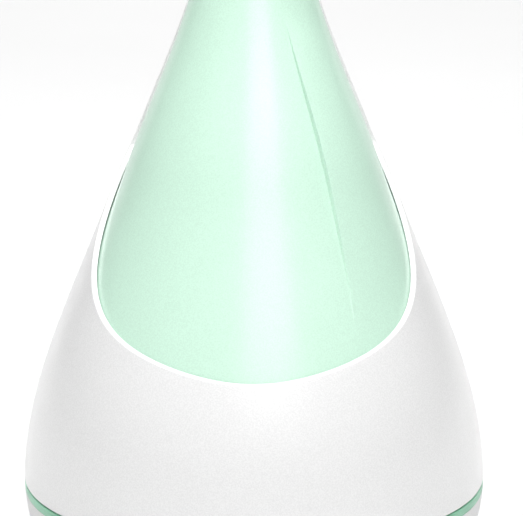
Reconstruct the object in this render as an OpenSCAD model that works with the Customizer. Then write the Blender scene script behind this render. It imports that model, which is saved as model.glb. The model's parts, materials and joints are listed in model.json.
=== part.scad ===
// Cool mist humidifier with a flower bud body.
// A white outer shell wraps a mint bud; both lift off a round base that holds the
// water tank, the ultrasonic mist disc, the fan and the electronics.
// Millimetres, +Z up, front towards -Y, origin on the table under the body's axis.

/* [Body] */
// Widest diameter of the body, at the seam
body_d = 168; // [140:1:202]
// Height of the seam between the cover and the base
seam_z = 45; // [38:1:54]
// Height of the mist outlet at the tip
tip_z = 285; // [238:1:342]
// Diameter of the flat underside
underside_d = 120; // [110:1:130]
// Height above the seam where the shoulder runs into the neck
waist_rise = 117; // [97:1:141]
// Radius of the body where the shoulder runs into the neck
waist_r = 47.6; // [40:0.1:56]
// Radius of the outer outline at the tip
tip_r = 11; // [9:0.1:13]

/* [Cover] */
// Level thickness of the outer shell's wall
shell_wall = 2.2; // [1.8:0.1:2.7]
// Level thickness of the bud's wall
bud_wall = 2.0; // [1.6:0.1:2.4]
// Glue gap between the shell and the bud
bud_gap = 0.3; // [0.2:0.05:0.4]
// Height of the window's lowest point above the seam
window_rise = 55.2; // [46:0.1:66]
// How far the back petal's point stays below the tip
petal_drop = 10; // [6:0.5:20]
// Height of the step where one bud petal overlaps the other
fold_step = 2.0; // [1:0.1:2.4]
// Slant of the mist outlet
mouth_tilt = 24; // [0:1:35]

/* [Seam and light ring] */
// Open slot between the cover and the light ring
seam_gap = 0.6; // [0.4:0.1:0.8]
// Height of the light ring's visible band
ring_h = 3.2; // [2.6:0.1:4]
// Number of lamps under the light ring
lamp_count = 12; // [6:1:16]

/* [Tank] */
// How far the tank's inner floor lies below the seam
tank_drop = 9; // [7:0.5:10]
// Inner radius of the tank's floor
tank_floor_r = 45; // [42:1:46]
// Height of the tank's rim above the seam
rim_rise = 33; // [28:1:40]
// Tank wall
tank_wall = 1.8; // [1.5:0.1:2.2]
// Inner radius of the air tower
tower_bore_r = 9.4; // [8:0.1:11]

/* [Base] */
// Side wall of the base housing
housing_wall = 2.2; // [1.8:0.1:2.7]
// Floor of the base housing
floor_t = 2.5; // [2:0.1:3]
// Height of the rubber feet below the housing
foot_h = 2; // [1.5:0.1:3]
// Diameter of a rubber foot
foot_d = 14; // [10:1:16]
// Button diameter
button_d = 9; // [7:0.5:10.5]
// Distance between the two button centres
button_pitch = 28; // [22:1:34]

/* [Fan] */
// Side of the square fan
fan_size = 40; // [40:1:42]
// Thickness of the fan
fan_h = 10; // [8:0.5:12]
// Number of fan blades
blade_count = 7; // [5:1:9]

/* [Motion] */
// How far the cover is lifted
cover_travel = 180; // [150:1:200]
// How far a button travels
button_travel = 0.5; // [0.3:0.1:0.8]

/* [Hidden] */
$fn = 96;

white = "white";
mint = [0.72, 0.90, 0.80];
steel = [0.70, 0.71, 0.73];
board_green = [0.10, 0.35, 0.22];
dark = [0.12, 0.12, 0.13];

eps = 0.01;
slide_gap = 0.3;      // between pieces that move past each other
screw_gap = 0.05;     // between a screw and the plastic it is driven into
body_r = body_d / 2;

// ---- curves ----
function bezier(p, t) =
    pow(1 - t, 3) * p[0] + 3 * pow(1 - t, 2) * t * p[1] + 3 * (1 - t) * t * t * p[2] + pow(t, 3) * p[3];
function curve(p, n) = [for (i = [0:n]) bezier(p, i / n)];
function but_first(list) = [for (i = [1:len(list) - 1]) list[i]];
function reversed(list) = [for (i = [len(list) - 1:-1:0]) list[i]];
// a [radius, height] outline as a [height, radius] table
function by_height(line) = [for (p = line) [p[1], p[0]]];
// heights of a table between two limits, both limits included
function heights(table, z0, z1) =
    concat([z0], [for (p = table) if (p[0] > z0 + 0.2 && p[0] < z1 - 0.2) p[0]], [z1]);

// ---- outer outline of the cover, from the seam to the tip ----
waist_slope = 0.35;
waist_z = seam_z + waist_rise;
waist_run = 0.36 * waist_rise;
shoulder = [
    [body_r, seam_z], [body_r, seam_z + 0.32 * waist_rise],
    [waist_r + waist_slope * waist_run, waist_z - waist_run], [waist_r, waist_z]
];
neck_h = tip_z - waist_z;
neck = [
    [waist_r, waist_z], [waist_r - waist_slope * 0.32 * neck_h, waist_z + 0.32 * neck_h],
    [tip_r + 0.1 * neck_h, tip_z - 0.59 * neck_h], [tip_r, tip_z]
];
cover_table = by_height(concat(curve(shoulder, 12), but_first(curve(neck, 18))));
function shell_r(z) = lookup(z, cover_table);
function bud_r(z) = shell_r(z) - shell_wall - bud_gap;
function bud_in_r(z) = bud_r(z) - bud_wall;

// ---- outer outline of the base, from the underside to the seam ----
underside_r = underside_d / 2;
base_line = [
    [underside_r, foot_h], [underside_r + 17, foot_h + 7],
    [body_r, seam_z - 15], [body_r, seam_z]
];
base_table = by_height(curve(base_line, 20));
function housing_r(z) = lookup(z, base_table);
function housing_in_r(z) = housing_r(z - 0.6 * floor_t) - housing_wall;

// ---- heights of the stack ----
floor_top = foot_h + floor_t;
ring_top = seam_z - 0.2;
ring_bottom = ring_top - ring_h;
cover_bottom = ring_top + seam_gap;
tank_in_z = seam_z - tank_drop;
tank_out_z = tank_in_z - 2;
collar_top = seam_z + 8.7;
collar_r = shell_r(collar_top) - shell_wall - 0.5;
ledge_z = collar_top + slide_gap;
bud_bottom = ledge_z + 2;
rim_z = seam_z + rim_rise;
rim_r = bud_in_r(rim_z) - 3.4;          // outer radius of the tank's rim
lid_z = rim_z + slide_gap;              // underside of the lid's flange
lid_wall = 1.8;
dome_top = lid_z + 21;
chimney_r = 12.8;
chimney_top = dome_top + 25;

// ---- places in plan ----
fan_y = 24;
fan_z = floor_top + 4;
fan_top = fan_z + fan_h;
fan_hole = 16;
disc_y = -14;
float_x = 33;
float_y = -8;
post_r = 59;
post_bottom = floor_top + 2.5;
foot_ring_r = 50;
board_z = floor_top + 7.5;
board_t = 1.6;
board_top = board_z + board_t;
board_l = 60;
board_w = 44;
board_y = -28;
board_hole_x = 26;
board_hole_y = 18;

// ---- small shapes ----
module tube(r_out, r_in, h) {
    difference() {
        cylinder(r = r_out, h = h);
        translate([0, 0, -1]) cylinder(r = r_in, h = h + 2);
    }
}
// outline between two offsets from a table of radii
module wall_between(table, z0, z1, off_out, off_in) {
    zs = heights(table, z0, z1);
    rotate_extrude()
        polygon(concat(
            [for (z = zs) [lookup(z, table) - off_out, z]],
            [for (z = reversed(zs)) [lookup(z, table) - off_in, z]]
        ));
}
// everything inside an outline, down to the axis
module solid_within(table, z0, z1, off) {
    zs = heights(table, z0, z1);
    rotate_extrude()
        polygon(concat([[0, z0]], [for (z = zs) [lookup(z, table) - off, z]], [[0, z1]]));
}
module at_posts() {
    for (a = [45:90:315]) rotate(a) translate([post_r, 0, 0]) children();
}
module at_corners(x, y) {
    for (sx = [-1, 1]) for (sy = [-1, 1]) translate([sx * x, sy * y, 0]) children();
}
// pan head screw, head down, with its thread rising from z = 0
module screw(head_r, head_h, shank_r, length) {
    difference() {
        translate([0, 0, -head_h]) cylinder(r = head_r, h = head_h);
        for (a = [0, 90])
            rotate(a) translate([-head_r * 0.6, -0.35, -head_h - 1])
                cube([head_r * 1.2, 0.7, 1 + head_h * 0.4]);
    }
    translate([0, 0, -eps]) cylinder(r = shank_r, h = length - shank_r);
    translate([0, 0, length - shank_r - eps]) cylinder(r1 = shank_r, r2 = shank_r * 0.2, h = shank_r);
}

// ---- cover ----
// The window's edge seen from the side, as [y, z]: out of the front, then up the back.
window_z = seam_z + window_rise;
petal_top_z = tip_z - petal_drop;
rim_h = petal_top_z - window_z;
rim_turn = [0.137 * body_r, window_z + 0.375 * rim_h];
rim_low = [
    [-shell_r(window_z), window_z], [-0.64 * body_r, window_z + 0.058 * rim_h],
    [-0.26 * body_r, window_z + 0.067 * rim_h], rim_turn
];
rim_high = [
    rim_turn, rim_turn + [4, 0.037 * rim_h],
    [0.45 * shell_r(petal_top_z), petal_top_z - 0.2 * rim_h], [shell_r(petal_top_z), petal_top_z]
];
rim_line = concat(curve(rim_low, 14), but_first(curve(rim_high, 12)));
function rim_angle(p) = acos(max(-1, min(1, -p[0] / shell_r(p[1]))));

// Everything above the window's edge: its floor is made of level lines, and it crosses
// the shell's wall from well inside to well outside.
module window_space() {
    top = tip_z + 20;
    n = len(rim_line);
    angles = [for (i = [0:n - 1]) i == 0 ? 0 : i == n - 1 ? 180 : rim_angle(rim_line[i])];
    function spoke(i, side, r, z) = [side * r * sin(angles[i]), -r * cos(angles[i]), z];
    function ring_of(side, off) =
        [for (i = [0:n - 1]) spoke(i, side, shell_r(rim_line[i][1]) + off, rim_line[i][1])];
    function ceiling(side) =
        [for (i = [0:n - 1]) spoke(i, side, shell_r(rim_line[i][1]) + 6, top)];
    points = concat(
        [for (p = rim_line) [0, 0, p[1]]],
        ring_of(1, -5), ring_of(1, 6), ceiling(1),
        ring_of(-1, -5), ring_of(-1, 6), ceiling(-1), [[0, 0, top]]
    );
    // index of a point on the right (side 0) or the left (side 1); both share the ends
    function at(row, side, i) = (row + (side == 1 && i > 0 && i < n - 1 ? 3 : 0)) * n + i;
    function panel(a, b, c, d, side) =
        side == 0 ? [[a, b, c], [a, c, d]] : [[a, c, b], [a, d, c]];
    faces = [for (side = [0, 1]) for (i = [0:n - 2]) each concat(
        i == 0 ? panel(i, at(1, side, i), at(1, side, i + 1), i + 1, side)
            : panel(at(1, side, i), at(1, side, i + 1), i + 1, i, side),
        panel(at(1, side, i), at(2, side, i), at(2, side, i + 1), at(1, side, i + 1), side),
        panel(at(2, side, i), at(3, side, i), at(3, side, i + 1), at(2, side, i + 1), side),
        [side == 0 ? [at(3, 0, i), 7 * n, at(3, 0, i + 1)] : [at(3, 1, i), at(3, 1, i + 1), 7 * n]]
    )];
    polyhedron(points, faces);
}

module outer_shell() {
    color(white) difference() {
        union() {
            wall_between(cover_table, cover_bottom, petal_top_z + 2, 0, shell_wall);
            wall_between(cover_table, ledge_z, bud_bottom, shell_wall - 0.2, shell_wall + 3.8);
        }
        window_space();
    }
}

// Height of the overlapping petal over the bud, along the fold.
fold_low_z = window_z;
fold_high_z = window_z + 0.7 * rim_h;
fold_angle = 38;      // of the fold, from the front towards the right
fold_shift = 3;
fold_shift_in = 5.5;  // how far off the axis the overlapping petal turns
function fold_height(z) =
    (fold_step + 0.6) * pow(sin(180 * (z - fold_low_z) / (fold_high_z - fold_low_z)), 1.3) - 0.6;

module overlap_petal() {
    zs = [for (i = [0:20]) fold_low_z + (fold_high_z - fold_low_z) * i / 20];
    rotate(fold_angle - 90) intersection() {
        translate([fold_shift_in, 0, 0]) rotate_extrude()
            polygon(concat(
                [[0, fold_low_z]],
                [for (z = zs) [bud_r(z) + fold_height(z) - fold_shift_in, z]],
                [[0, fold_high_z]]
            ));
        translate([0, -fold_shift, 0]) cube([body_r, body_r, tip_z]);
    }
}

module bud_shell() {
    color(mint) difference() {
        union() {
            solid_within(cover_table, bud_bottom, tip_z, shell_wall + bud_gap);
            overlap_petal();
        }
        translate([0, 0, -eps]) solid_within(cover_table, bud_bottom, tip_z, shell_wall + bud_gap + bud_wall);
        translate([0, 0, tip_z - 1]) cylinder(r = bud_in_r(tip_z), h = 3);
        translate([0, 0, tip_z - 5]) rotate([mouth_tilt, 0, 0]) translate([-30, -30, 0]) cube([60, 60, 40]);
    }
}

// ---- light ring ----
skirt_r = body_r - 12;
lamp_r = skirt_r + 1.2;
led_board_top = ring_bottom - 6.4;
lamp_h = 0.9;

lip_r = housing_in_r(ring_bottom - 2) - 0.3;   // the lip clears the wall where the wall is narrowest
module light_ring() {
    color(mint) rotate_extrude() polygon([
        [skirt_r, led_board_top + lamp_h + 0.3], [skirt_r + 2.4, led_board_top + lamp_h + 0.3],
        [skirt_r + 2.4, ring_bottom], [lip_r - 1.3, ring_bottom], [lip_r - 1.3, ring_bottom - 2],
        [lip_r, ring_bottom - 2], [lip_r, ring_bottom],
        [housing_r(ring_bottom), ring_bottom], [housing_r(ring_top), ring_top], [skirt_r, ring_top]
    ]);
}

// ---- tank ----
tank_line = [
    [tank_floor_r - 3, tank_in_z], [tank_floor_r + 5, tank_in_z + 2],
    [rim_r - 14, rim_z - 26], [rim_r - tank_wall, rim_z]
];
tank_table = by_height(curve(tank_line, 14));
function tank_in_r(z) = lookup(z, tank_table);
disc_r = 10;
seal_r = 12;
seat_bottom = tank_out_z - 4;
post_tip = tank_in_z + 20;
float_post_r = 2.5;
tower_r = tower_bore_r + 1.6;
tower_top = rim_z + 4;
deck_t = 2.2;
deck_top = ring_top + deck_t;

module tank_bowl() {
    zs = heights(tank_table, tank_in_z, rim_z);
    color([0.94, 0.95, 0.95]) difference() {
        union() {
            rotate_extrude() polygon(concat(
                [[0, tank_in_z]], [for (z = zs) [tank_in_r(z), z]],
                [[rim_r, rim_z]],
                [for (z = reversed(zs)) if (z < rim_z - 1 && z > tank_in_z + 1)
                    [tank_in_r(z) + tank_wall, z - 0.5]],
                [[tank_in_r(tank_in_z) + tank_wall, tank_out_z], [0, tank_out_z]]
            ));
            // bead that rests on the deck ring
            translate([0, 0, deck_top]) tube(tank_in_r(deck_top) + 4, tank_in_r(deck_top) + 0.5, 1.6);
            translate([float_x, float_y, tank_out_z]) cylinder(r = float_post_r, h = post_tip - tank_out_z);
            translate([0, disc_y, seat_bottom]) cylinder(r = seal_r + 7, h = tank_out_z - seat_bottom + 1);
        }
        translate([0, fan_y + 2, tank_out_z - 1]) cylinder(r = tower_r + screw_gap, h = 10);
        translate([float_x, float_y, tank_out_z - 1])
            cylinder(r = float_post_r - 1, h = post_tip - tank_out_z - 1);
        translate([0, disc_y, seat_bottom - 1])
            cylinder(r = seal_r + screw_gap, h = tank_out_z - seat_bottom + 1);
        translate([0, disc_y, seat_bottom]) cylinder(r = disc_r - 0.5, h = 10);
        at_clamp_holes() translate([0, 0, seat_bottom - 1]) cylinder(r = 1.1 + screw_gap, h = 4.6);
    }
}
// ring that holds the tank, stands on the light ring and guides the cover
module deck_ring() {
    color("whitesmoke") difference() {
        union() {
            translate([0, 0, ring_top]) cylinder(r = collar_r, h = deck_t);
            translate([0, 0, ring_top]) tube(collar_r, collar_r - tank_wall, collar_top - ring_top);
            at_posts() translate([0, 0, post_bottom]) cylinder(r = 3.8, h = ring_top + 1 - post_bottom);
        }
        solid_within(tank_table, tank_in_z, deck_top + 1, -tank_wall - 0.7);
        at_posts() translate([0, 0, post_bottom - 1]) cylinder(r = 1.45 + screw_gap, h = 15);
    }
}
// tube that carries the fan's air up through the water
module air_tube() {
    color("whitesmoke") translate([0, fan_y + 2, 0]) difference() {
        union() {
            translate([0, 0, tank_out_z - 2]) cylinder(r = tower_r, h = tower_top - tank_out_z + 2);
            translate([0, 0, tank_out_z - 2]) cylinder(r = tower_r + 2, h = 2);
        }
        translate([0, 0, tank_out_z - 3]) cylinder(r = tower_bore_r, h = tower_top - tank_out_z + 4);
    }
}
module at_clamp_holes() {
    translate([0, disc_y, 0]) for (a = [90:120:330]) rotate(a) translate([seal_r + 3.5, 0, 0]) children();
}

module splash_lid() {
    skirt_out = tank_in_r(rim_z - 4) - 0.5;
    dome_r = rim_r - 6;
    outside = curve([[dome_r, lid_z + 2], [dome_r - 12, dome_top - 3], [chimney_r + 16, dome_top - 2],
        [chimney_r, dome_top + 6]], 12);
    inside = curve([[dome_r - lid_wall, lid_z], [dome_r - 13, dome_top - 5], [chimney_r + 14, dome_top - 4],
        [chimney_r - lid_wall, dome_top + 4]], 12);
    color([0.95, 0.96, 0.96]) rotate_extrude() polygon(concat(
        [[skirt_out, lid_z - 4], [skirt_out, lid_z], [rim_r + 0.6, lid_z], [rim_r + 0.6, lid_z + 2]],
        outside, [[chimney_r, chimney_top], [chimney_r - lid_wall, chimney_top]],
        reversed(inside), [[skirt_out - 1.4, lid_z], [skirt_out - 1.4, lid_z - 4]]
    ));
}

// ---- low water float ----
float_bottom = tank_in_z + slide_gap;
float_h = 9;
cap_bottom = post_tip - 2;
float_travel = cap_bottom - slide_gap - float_bottom - float_h;

module level_float() {
    color("ivory") translate([float_x, float_y, float_bottom]) difference() {
        tube(9, float_post_r + 0.5, float_h);
        translate([0, 0, float_h - 3.8]) tube(7.1, 4.4, 5);
    }
}
module float_magnet() {
    color(dark) translate([float_x, float_y, float_bottom + float_h - 3.8]) tube(7, 4.5, 3);
}
module float_cap() {
    color(white) translate([float_x, float_y, cap_bottom]) difference() {
        cylinder(r = 4.6, h = 3.5);
        translate([0, 0, -1]) cylinder(r = float_post_r + screw_gap, h = 3 + screw_gap);
    }
}
module reed_switch() {
    color([0.75, 0.85, 0.8]) translate([float_x, float_y, tank_out_z]) {
        cylinder(r = 1.1, h = 14);
        translate([0, 0, -3]) cylinder(r = 0.4, h = 3 + eps);
    }
}

// ---- mist disc, clamped under the tank ----
disc_t = 1.2;
disc_z = seat_bottom + 1.4;
module mist_disc() {
    color(steel) translate([0, disc_y, disc_z]) {
        cylinder(r = disc_r, h = disc_t);
        translate([0, 0, -0.3]) cylinder(r = disc_r - 2.5, h = 0.3 + eps);
    }
}
module disc_seal() {
    color("whitesmoke") translate([0, disc_y, 0]) difference() {
        translate([0, 0, seat_bottom]) tube(seal_r, disc_r - 1.5, tank_out_z - seat_bottom);
        translate([0, 0, disc_z]) cylinder(r = disc_r, h = disc_t);
    }
}
clamp_t = 1.6;
module disc_clamp() {
    color(steel) difference() {
        translate([0, disc_y, seat_bottom - clamp_t]) tube(seal_r + 6.5, 5, clamp_t);
        at_clamp_holes() translate([0, 0, seat_bottom - clamp_t - 1]) cylinder(r = 1.3, h = clamp_t + 2);
    }
}
module clamp_screws() {
    color("silver") at_clamp_holes() translate([0, 0, seat_bottom - clamp_t]) screw(2.4, 1.6, 1.1, 4.6);
}

// ---- base housing ----
button_z = seam_z - 21;
button_r = button_d / 2;
jack_z = button_z;
jack_recess_r = 6.4;
jack_face_y = housing_r(jack_z - jack_recess_r) - 0.8;
jack_r = 4;
pin_root = 1.6;                         // the centre pin is square where it stands in the insulator
guide_end_y = -(housing_in_r(button_z - button_r - 2) - 1.5);  // inner end of the button guides
button_board_y = guide_end_y + 9.3;
button_board_h = 14;
button_screw_x = button_pitch / 2 + 10;

module at_buttons() {
    for (s = [-1, 1]) translate([s * button_pitch / 2, 0, button_z]) children();
}
// a square bar and a cylinder that run from y0 to y1
module square_along_y(side, y0, y1) {
    translate([-side / 2, y0, -side / 2]) cube([side, y1 - y0, side]);
}
module along_y(r, y0, y1) {
    translate([0, y0, 0]) rotate([-90, 0, 0]) cylinder(r = r, h = y1 - y0);
}
module vent_slots() {
    pitch = 5;
    for (i = [-3:3]) {
        half = sqrt(pow(18, 2) - pow(i * pitch, 2)) - 1.5;
        translate([i * pitch, fan_y, foot_h - 1]) {
            translate([-1.4, -half, 0]) cube([2.8, 2 * half, floor_t + 2]);
            for (s = [-1, 1]) translate([0, s * half, 0]) cylinder(r = 1.4, h = floor_t + 2);
        }
    }
}
module base_housing() {
    color(white) difference() {
        union() {
            difference() {
                solid_within(base_table, foot_h, ring_bottom, 0);
                housing_cavity();
            }
            // ledge for the lamp board
            intersection() {
                translate([0, 0, led_board_top - board_t - 2]) tube(body_r, led_board_r - 1, 2);
                solid_within(base_table, foot_h, ring_bottom, 1);
            }
            at_posts() translate([0, 0, foot_h + 1]) cylinder(r = 5.5, h = post_bottom - foot_h - 1);
            translate([0, fan_y, foot_h + 1]) at_corners(fan_hole, fan_hole)
                cylinder(r = 3.2, h = fan_z - foot_h - 1);
            translate([0, board_y, foot_h + 1]) at_corners(board_hole_x, board_hole_y)
                cylinder(r = 3, h = board_z - foot_h - 1);
            intersection() {
                union() {
                    translate([0, 0, jack_z]) along_y(9, jack_face_y - 2.5, body_r);
                    at_buttons() along_y(button_r + 2.2, -body_r, guide_end_y);
                    for (s = [-1, 1]) translate([s * button_screw_x, 0, button_z])
                        along_y(3, -body_r, button_board_y);
                }
                solid_within(base_table, foot_h, ring_bottom, 1);
            }
        }
        vent_slots();
        at_posts() {
            translate([0, 0, foot_h - 1]) cylinder(r = 3.1, h = floor_t + 1);
            translate([0, 0, foot_h]) cylinder(r = 1.7, h = 10);
        }
        at_feet() translate([0, 0, foot_h - 1]) cylinder(r = foot_d / 2 + 0.2, h = 1.5);
        translate([0, fan_y, floor_top]) at_corners(fan_hole, fan_hole) cylinder(r = 1.35 + screw_gap, h = 5);
        translate([0, board_y, floor_top]) at_corners(board_hole_x, board_hole_y)
            cylinder(r = 1.1 + screw_gap, h = 9);
        translate([0, 0, jack_z]) {
            along_y(jack_recess_r, jack_face_y, body_r + 5);
            along_y(jack_r + 0.1, jack_face_y - 6, body_r);
        }
        at_buttons() along_y(button_r + slide_gap, -body_r - 5, guide_end_y + 1);
        for (s = [-1, 1]) translate([s * button_screw_x, 0, button_z])
            along_y(1.1 + screw_gap, button_board_y - 7, button_board_y + 1);
    }
}
module housing_cavity() {
    zs = heights(base_table, floor_top, ring_bottom);
    rotate_extrude() polygon(concat(
        [[0, floor_top]], [for (z = zs) [housing_in_r(z), z]],
        [[housing_in_r(ring_bottom), ring_bottom + 1], [0, ring_bottom + 1]]
    ));
}
module at_feet() {
    for (a = [0:90:270]) rotate(a) translate([foot_ring_r, 0, 0]) children();
}
module rubber_feet() {
    color([0.25, 0.25, 0.26]) at_feet() {
        cylinder(r1 = foot_d / 2 - 0.8, r2 = foot_d / 2, h = 0.8);
        translate([0, 0, 0.8 - eps]) cylinder(r = foot_d / 2, h = foot_h - 0.3 + eps);
    }
}
module housing_screws() {
    color("silver") at_posts() translate([0, 0, floor_top]) screw(2.8, 1.9, 1.45, 14);
}

// ---- fan ----
fan_bore_r = fan_size / 2 - 1.2;
hub_r = 9.5;
fan_base_t = 1.5;
module at_fan() {
    translate([0, fan_y, fan_z]) children();
}
module fan_frame() {
    color(dark) at_fan() difference() {
        union() {
            difference() {
                translate([-fan_size / 2, -fan_size / 2, 0]) cube([fan_size, fan_size, fan_h]);
                translate([0, 0, -1]) cylinder(r = fan_bore_r, h = fan_h + 2);
            }
            cylinder(r = hub_r, h = fan_base_t);
            for (a = [30:120:270]) rotate(a) translate([0, -1.5, 0]) cube([fan_bore_r + 0.5, 3, fan_base_t]);
        }
        translate([0, 0, -1]) at_corners(fan_hole, fan_hole) cylinder(r = 1.7, h = fan_h + 2);
        translate([0, 0, 0.5]) cylinder(r = 2.6 + screw_gap, h = 2);
    }
}
module fan_bearing() {
    color([0.72, 0.55, 0.30]) at_fan() translate([0, 0, 0.5]) tube(2.6, 1.55, 5.5);
}
module fan_shaft() {
    color("silver") at_fan() translate([0, 0, 1]) cylinder(r = 1.5, h = fan_h - 2.2);
}
module fan_stator() {
    color([0.72, 0.42, 0.22]) at_fan() translate([0, 0, fan_base_t]) difference() {
        union() {
            tube(3.6, 2.6 + screw_gap, fan_h - 5.4);
            intersection() {
                for (a = [0, 90]) rotate(a) translate([-6.6, -1.8, 0.5]) cube([13.2, 3.6, fan_h - 6.6]);
                cylinder(r = 6.6, h = fan_h);
            }
        }
        translate([0, 0, -1]) cylinder(r = 2.6 + screw_gap, h = fan_h);
    }
}
module fan_rotor() {
    cup_z = fan_base_t + 0.5;
    color([0.16, 0.16, 0.17]) at_fan() difference() {
        union() {
            translate([0, 0, cup_z]) cylinder(r = hub_r, h = fan_h - cup_z - 0.4);
            intersection() {
                for (i = [0:blade_count - 1]) rotate(i * 360 / blade_count)
                    translate([hub_r - 1.5, 0, fan_h / 2 + 0.4]) rotate([38, 0, 0]) translate([0, -4.6, -0.5])
                        cube([fan_bore_r, 9.2, 1]);
                translate([0, 0, cup_z]) cylinder(r = fan_bore_r - 0.7, h = fan_h - cup_z - 0.4);
            }
        }
        translate([0, 0, cup_z - 1]) cylinder(r = hub_r - 0.9, h = fan_h - cup_z - 0.8);
        translate([0, 0, fan_h - 3]) cylinder(r = 1.5, h = 1.8);
    }
}
module fan_magnet() {
    color([0.3, 0.3, 0.32]) at_fan() translate([0, 0, fan_base_t + 0.8])
        tube(hub_r - 0.95, hub_r - 2.3, fan_h - 5);
}
module fan_screws() {
    color("silver") translate([0, fan_y, fan_top + 1.5]) at_corners(fan_hole, fan_hole)
        mirror([0, 0, 1]) screw(2.6, 1.6, 1.35, fan_h + 4.8);
}

// ---- air path from the fan to the tank ----
gasket_t = 1;
duct_top = tank_out_z - 2 - gasket_t;
module air_duct() {
    color([0.85, 0.86, 0.87]) difference() {
        union() {
            translate([-fan_size / 2, fan_y - fan_size / 2, fan_top]) cube([fan_size, fan_size, 1.5]);
            translate([0, fan_y, fan_top]) cylinder(r = fan_bore_r, h = 2.5);
            translate([0, fan_y, fan_top + 2.5 - eps])
                cylinder(r1 = fan_bore_r, r2 = tower_r + 2, h = duct_top - fan_top - 3.5);
            translate([0, fan_y + 2, duct_top - 1.6]) cylinder(r = tower_r + 2, h = 1.6);
        }
        translate([0, fan_y, fan_top - 1]) cylinder(r = fan_bore_r - 1.6, h = 3.5);
        translate([0, fan_y, fan_top + 2.5 - 2 * eps])
            cylinder(r1 = fan_bore_r - 1.6, r2 = tower_bore_r, h = duct_top - fan_top - 3.5);
        translate([0, fan_y + 2, duct_top - 3]) cylinder(r = tower_bore_r, h = 4);
        translate([0, fan_y, fan_top - 1]) at_corners(fan_hole, fan_hole) cylinder(r = 1.7, h = 4);
    }
}
module duct_gasket() {
    color([0.2, 0.2, 0.2]) translate([0, fan_y + 2, duct_top])
        tube(tower_bore_r + 3.2, tower_bore_r, gasket_t);
}

// ---- electronics ----
module main_board() {
    color(board_green) difference() {
        translate([-board_l / 2, board_y - board_w / 2, board_z]) cube([board_l, board_w, board_t]);
        translate([0, board_y, board_z - 1]) at_corners(board_hole_x, board_hole_y) cylinder(r = 1.4, h = 4);
    }
}
module board_screws() {
    color("silver") translate([0, board_y, board_top]) at_corners(board_hole_x, board_hole_y)
        mirror([0, 0, 1]) screw(2.2, 1.5, 1.1, 8);
}
module wifi_module() {
    color("silver") translate([-27, board_y - 8, board_top]) {
        cube([16, 18, 0.8]);
        translate([1, 1, 0.8 - eps]) cube([14, 12, 2.2]);
    }
}
module driver_coil() {
    color([0.72, 0.42, 0.22]) translate([21, board_y + 4, board_top]) {
        tube(5.5, 2.6, 5);
        cylinder(r = 2.6, h = 6);
        cylinder(r = 6, h = 0.6);
    }
}
module capacitors() {
    color([0.16, 0.18, 0.24]) for (x = [-5, 5]) translate([x, board_y - 15, board_top]) {
        cylinder(r = 4, h = 9);
        translate([0, 0, 9 - eps]) cylinder(r1 = 4, r2 = 3.4, h = 0.6);
    }
}
module board_chips() {
    color(dark) for (p = [[-6, -4, 7, 7, 1], [5, -3, 5, 4, 1.5], [5, 6, 6.5, 10, 2.3], [-8, 7, 5, 4, 1.2]])
        translate([p[0], board_y + p[1], board_top]) cube([p[2], p[3], p[4]]);
}
// [x, y] of each lead's socket on the main board
power_socket = [19, board_y + 18.5];
fan_socket = [11, board_y + 18.5];
disc_socket = [-18, board_y + 17.5];
float_socket = [22, board_y - 6];
led_socket = [-13, board_y - 17];
button_socket = [15, board_y - 19];
sockets = [power_socket, fan_socket, disc_socket, float_socket, led_socket, button_socket];
socket_h = 5;
module board_sockets() {
    color("ivory") for (p = sockets)
        translate([p[0] - 3, p[1] - 2.4, board_top]) difference() {
            cube([6, 4.8, socket_h]);
            translate([0.8, 0.8, 2]) cube([4.4, 3.2, socket_h]);
        }
}
led_board_r = housing_in_r(led_board_top - board_t) - 3;
led_board_in_r = post_r + 5;
module led_board() {
    color("white") translate([0, 0, led_board_top - board_t]) tube(led_board_r, led_board_in_r, board_t);
}
module ring_leds() {
    color("lightyellow") for (i = [0:lamp_count - 1])
        rotate((i + 0.5) * 360 / lamp_count) translate([lamp_r - 1.4, -1.4, led_board_top])
            cube([2.8, 2.8, lamp_h]);
}

// ---- power inlet ----
module dc_jack() {
    color(dark) translate([0, 0, jack_z]) difference() {
        union() {
            along_y(5.6, jack_face_y, jack_face_y + 1.4);
            along_y(jack_r, jack_face_y - 6, jack_face_y + eps);
            along_y(5.2, jack_face_y - 16, jack_face_y - 6 + eps);
        }
        along_y(3.0, jack_face_y - 10, jack_face_y + 3);
        square_along_y(pin_root + 2 * screw_gap, jack_face_y - 13, jack_face_y - 9);
    }
}
module jack_nut() {
    color("silver") translate([0, jack_face_y - 2.5 - 2.2, jack_z]) rotate([-90, 0, 0]) difference() {
        cylinder(r = 6.4, h = 2.2, $fn = 6);
        translate([0, 0, -1]) cylinder(r = jack_r + 0.1, h = 5);
    }
}
module jack_pin() {
    color("gold") translate([0, 0, jack_z]) {
        square_along_y(pin_root, jack_face_y - 12, jack_face_y - 9);
        along_y(1.0, jack_face_y - 9 - eps, jack_face_y - 0.5);
    }
}

// ---- buttons ----
cap_flange_y = guide_end_y + slide_gap;
plunger_y = cap_flange_y + 2.6;
switch_y = plunger_y + 1.0;
module button_at(side) {
    color(white) translate([side * button_pitch / 2, 0, button_z]) difference() {
        union() {
            below_skin(side, -0.4) along_y(button_r, -body_r - 5, cap_flange_y + eps);
            along_y(button_r + 1.6, cap_flange_y, cap_flange_y + 1.2);
            along_y(1.8, cap_flange_y, plunger_y);
        }
        below_skin(side, 1.8) difference() {
            along_y(button_r - 1.4, -body_r, cap_flange_y + 3);
            along_y(1.8, -body_r - 1, cap_flange_y + 4);
        }
    }
}
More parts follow.
